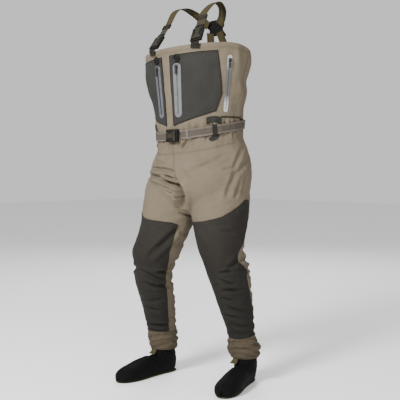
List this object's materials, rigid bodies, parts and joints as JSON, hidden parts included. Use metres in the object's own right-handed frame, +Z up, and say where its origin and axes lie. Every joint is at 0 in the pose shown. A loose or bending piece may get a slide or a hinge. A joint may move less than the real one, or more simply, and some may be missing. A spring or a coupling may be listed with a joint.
{
  "type": "chest waders",
  "caption": "Stocking-foot chest waders in laminated cloth with braces, belt, zipped chest and side pockets, dark leg fronts and neoprene feet, in a standing pose.",
  "frame": {"origin": "middle of the base, on the ground under the soles", "axes": "+Z up along the body, the wearer faces -Y, +X is the wearer's left"},
  "size_m": [0.5416, 0.4664, 1.5308],
  "materials": {
    "tan_fabric": "matt fine-weave nylon, greyish tan",
    "dark_fabric": "matt heavier nylon, dark olive grey",
    "pocket_fabric": "matt nylon, dark warm grey",
    "zip_film": "smooth welded grey film",
    "zip_metal": "black coated die-cast metal",
    "webbing": "ribbed taupe webbing",
    "elastic": "ribbed olive khaki elastic",
    "buckle_plastic": "satin black olive acetal",
    "yoke_patch": "black stitched patch",
    "neoprene": "black neoprene with jersey face",
    "olive_trim": "matt olive rubber and tape"
  },
  "bodies": {
    "root": {"back_belt_loop": "dark_fabric", "back_yoke": "yoke_patch", "belt_buckle_plug": "buckle_plastic", "belt_buckle_socket": "buckle_plastic", "bib_shell": "tan_fabric", "left_back_strap": "elastic", "left_belt_loop": "dark_fabric", "left_bootie": "neoprene", "left_bootie_sole": "olive_trim", "left_chest_pocket": "pocket_fabric", "left_chest_zip": "zip_film", "left_gravel_guard": "tan_fabric", "left_hand_zip": "zip_film", "left_lace_tab": "olive_trim", "left_leg_panel": "dark_fabric", "left_leg_shell": "tan_fabric", "left_loop_patch": "dark_fabric", "left_shoulder_strap": "elastic", "left_strap_buckle_plug": "buckle_plastic", "left_strap_buckle_socket": "buckle_plastic", "left_strap_tab": "elastic", "left_zip_garage": "buckle_plastic", "right_back_strap": "elastic", "right_belt_loop": "dark_fabric", "right_bootie": "neoprene", "right_bootie_sole": "olive_trim", "right_chest_pocket": "pocket_fabric", "right_chest_zip": "zip_film", "right_gravel_guard": "tan_fabric", "right_hand_zip": "zip_film", "right_lace_tab": "olive_trim", "right_leg_panel": "dark_fabric", "right_leg_shell": "tan_fabric", "right_loop_patch": "dark_fabric", "right_shoulder_strap": "elastic", "right_strap_buckle_plug": "buckle_plastic", "right_strap_buckle_socket": "buckle_plastic", "right_strap_tab": "elastic", "right_zip_garage": "buckle_plastic", "seat_shell": "tan_fabric", "top_hem": "tan_fabric", "waist_belt": "webbing"},
    "left_chest_slider": {"left_chest_zip_slider": "zip_metal"},
    "left_chest_pull": {"left_chest_zip_pull": "zip_metal"},
    "left_hand_slider": {"left_hand_zip_slider": "zip_metal"},
    "left_hand_pull": {"left_hand_zip_pull": "zip_metal"},
    "left_adjuster": {"left_strap_adjuster": "buckle_plastic"},
    "left_strap_prong_a": {"left_strap_buckle_prong_a": "buckle_plastic"},
    "left_strap_prong_b": {"left_strap_buckle_prong_b": "buckle_plastic"},
    "right_chest_slider": {"right_chest_zip_slider": "zip_metal"},
    "right_chest_pull": {"right_chest_zip_pull": "zip_metal"},
    "right_hand_slider": {"right_hand_zip_slider": "zip_metal"},
    "right_hand_pull": {"right_hand_zip_pull": "zip_metal"},
    "right_adjuster": {"right_strap_adjuster": "buckle_plastic"},
    "right_strap_prong_a": {"right_strap_buckle_prong_a": "buckle_plastic"},
    "right_strap_prong_b": {"right_strap_buckle_prong_b": "buckle_plastic"},
    "belt_prong_a": {"belt_buckle_prong_a": "buckle_plastic"},
    "belt_prong_b": {"belt_buckle_prong_b": "buckle_plastic"}
  },
  "joints": [
    {"name": "left_chest_zip_run", "type": "slide", "parent": "root", "child": "left_chest_slider", "axis": [-0.0324, 0.084, -0.9959], "range_m": [0, 0.165]},
    {"name": "left_chest_pull_swing", "type": "hinge", "parent": "left_chest_slider", "child": "left_chest_pull", "pos_m": [0.02311, -0.12765, 1.25947], "axis": [-0.9916, -0.1279, 0.0214], "range_deg": [0, 150]},
    {"name": "left_hand_zip_run", "type": "slide", "parent": "root", "child": "left_hand_slider", "axis": [-0.1635, 0.0584, -0.9848], "range_m": [0, 0.165]},
    {"name": "left_hand_pull_swing", "type": "hinge", "parent": "left_hand_slider", "child": "left_hand_pull", "pos_m": [0.21085, -0.01819, 1.27697], "axis": [-0.4717, -0.8814, 0.026], "range_deg": [0, 150]},
    {"name": "left_adjuster_run", "type": "slide", "parent": "root", "child": "left_adjuster", "axis": [-0.2087, 0.5235, 0.8261], "range_m": [-0.03, 0.008]},
    {"name": "left_strap_squeeze_a", "type": "hinge", "parent": "root", "child": "left_strap_prong_a", "pos_m": [0.11461, -0.08031, 1.38845], "axis": [-0.0832, 0.8321, -0.5483], "range_deg": [0, 8], "stiffness_Nm_per_rad": 0.3},
    {"name": "left_strap_squeeze_b", "type": "hinge", "parent": "root", "child": "left_strap_prong_b", "pos_m": [0.08635, -0.08562, 1.38468], "axis": [0.0832, -0.8321, 0.5483], "range_deg": [0, 8], "stiffness_Nm_per_rad": 0.3},
    {"name": "right_chest_zip_run", "type": "slide", "parent": "root", "child": "right_chest_slider", "axis": [0.0502, 0.083, -0.9953], "range_m": [0, 0.165]},
    {"name": "right_chest_pull_swing", "type": "hinge", "parent": "right_chest_slider", "child": "right_chest_pull", "pos_m": [-0.09242, -0.12349, 1.25944], "axis": [-0.979, 0.2012, -0.0326], "range_deg": [0, 150]},
    {"name": "right_hand_zip_run", "type": "slide", "parent": "root", "child": "right_hand_slider", "axis": [0.1687, 0.0546, -0.9842], "range_m": [0, 0.165]},
    {"name": "right_hand_pull_swing", "type": "hinge", "parent": "right_hand_slider", "child": "right_hand_pull", "pos_m": [-0.26288, -0.00099, 1.27693], "axis": [-0.3462, 0.9381, -0.0073], "range_deg": [0, 150]},
    {"name": "right_adjuster_run", "type": "slide", "parent": "root", "child": "right_adjuster", "axis": [0.0099, 0.6088, 0.7933], "range_m": [-0.03, 0.008]},
    {"name": "right_strap_squeeze_a", "type": "hinge", "parent": "root", "child": "right_strap_prong_a", "pos_m": [-0.1008, -0.09165, 1.3768], "axis": [0.079, 0.7904, -0.6075], "range_deg": [0, 8], "stiffness_Nm_per_rad": 0.3},
    {"name": "right_strap_squeeze_b", "type": "hinge", "parent": "root", "child": "right_strap_prong_b", "pos_m": [-0.12971, -0.08966, 1.37564], "axis": [-0.079, -0.7904, 0.6075], "range_deg": [0, 8], "stiffness_Nm_per_rad": 0.3},
    {"name": "belt_squeeze_a", "type": "hinge", "parent": "root", "child": "belt_prong_a", "pos_m": [-0.0075, -0.15845, 1.0115], "axis": [0, 1, 0], "range_deg": [0, 8], "stiffness_Nm_per_rad": 0.3},
    {"name": "belt_squeeze_b", "type": "hinge", "parent": "root", "child": "belt_prong_b", "pos_m": [-0.0075, -0.15845, 0.9825], "axis": [0, -1, 0], "range_deg": [0, 8], "stiffness_Nm_per_rad": 0.3}
  ],
  "couplings": [
    {"joint": "left_strap_squeeze_b", "follows": "left_strap_squeeze_a", "ratio": 1},
    {"joint": "right_strap_squeeze_b", "follows": "right_strap_squeeze_a", "ratio": 1},
    {"joint": "belt_squeeze_b", "follows": "belt_squeeze_a", "ratio": 1}
  ]
}
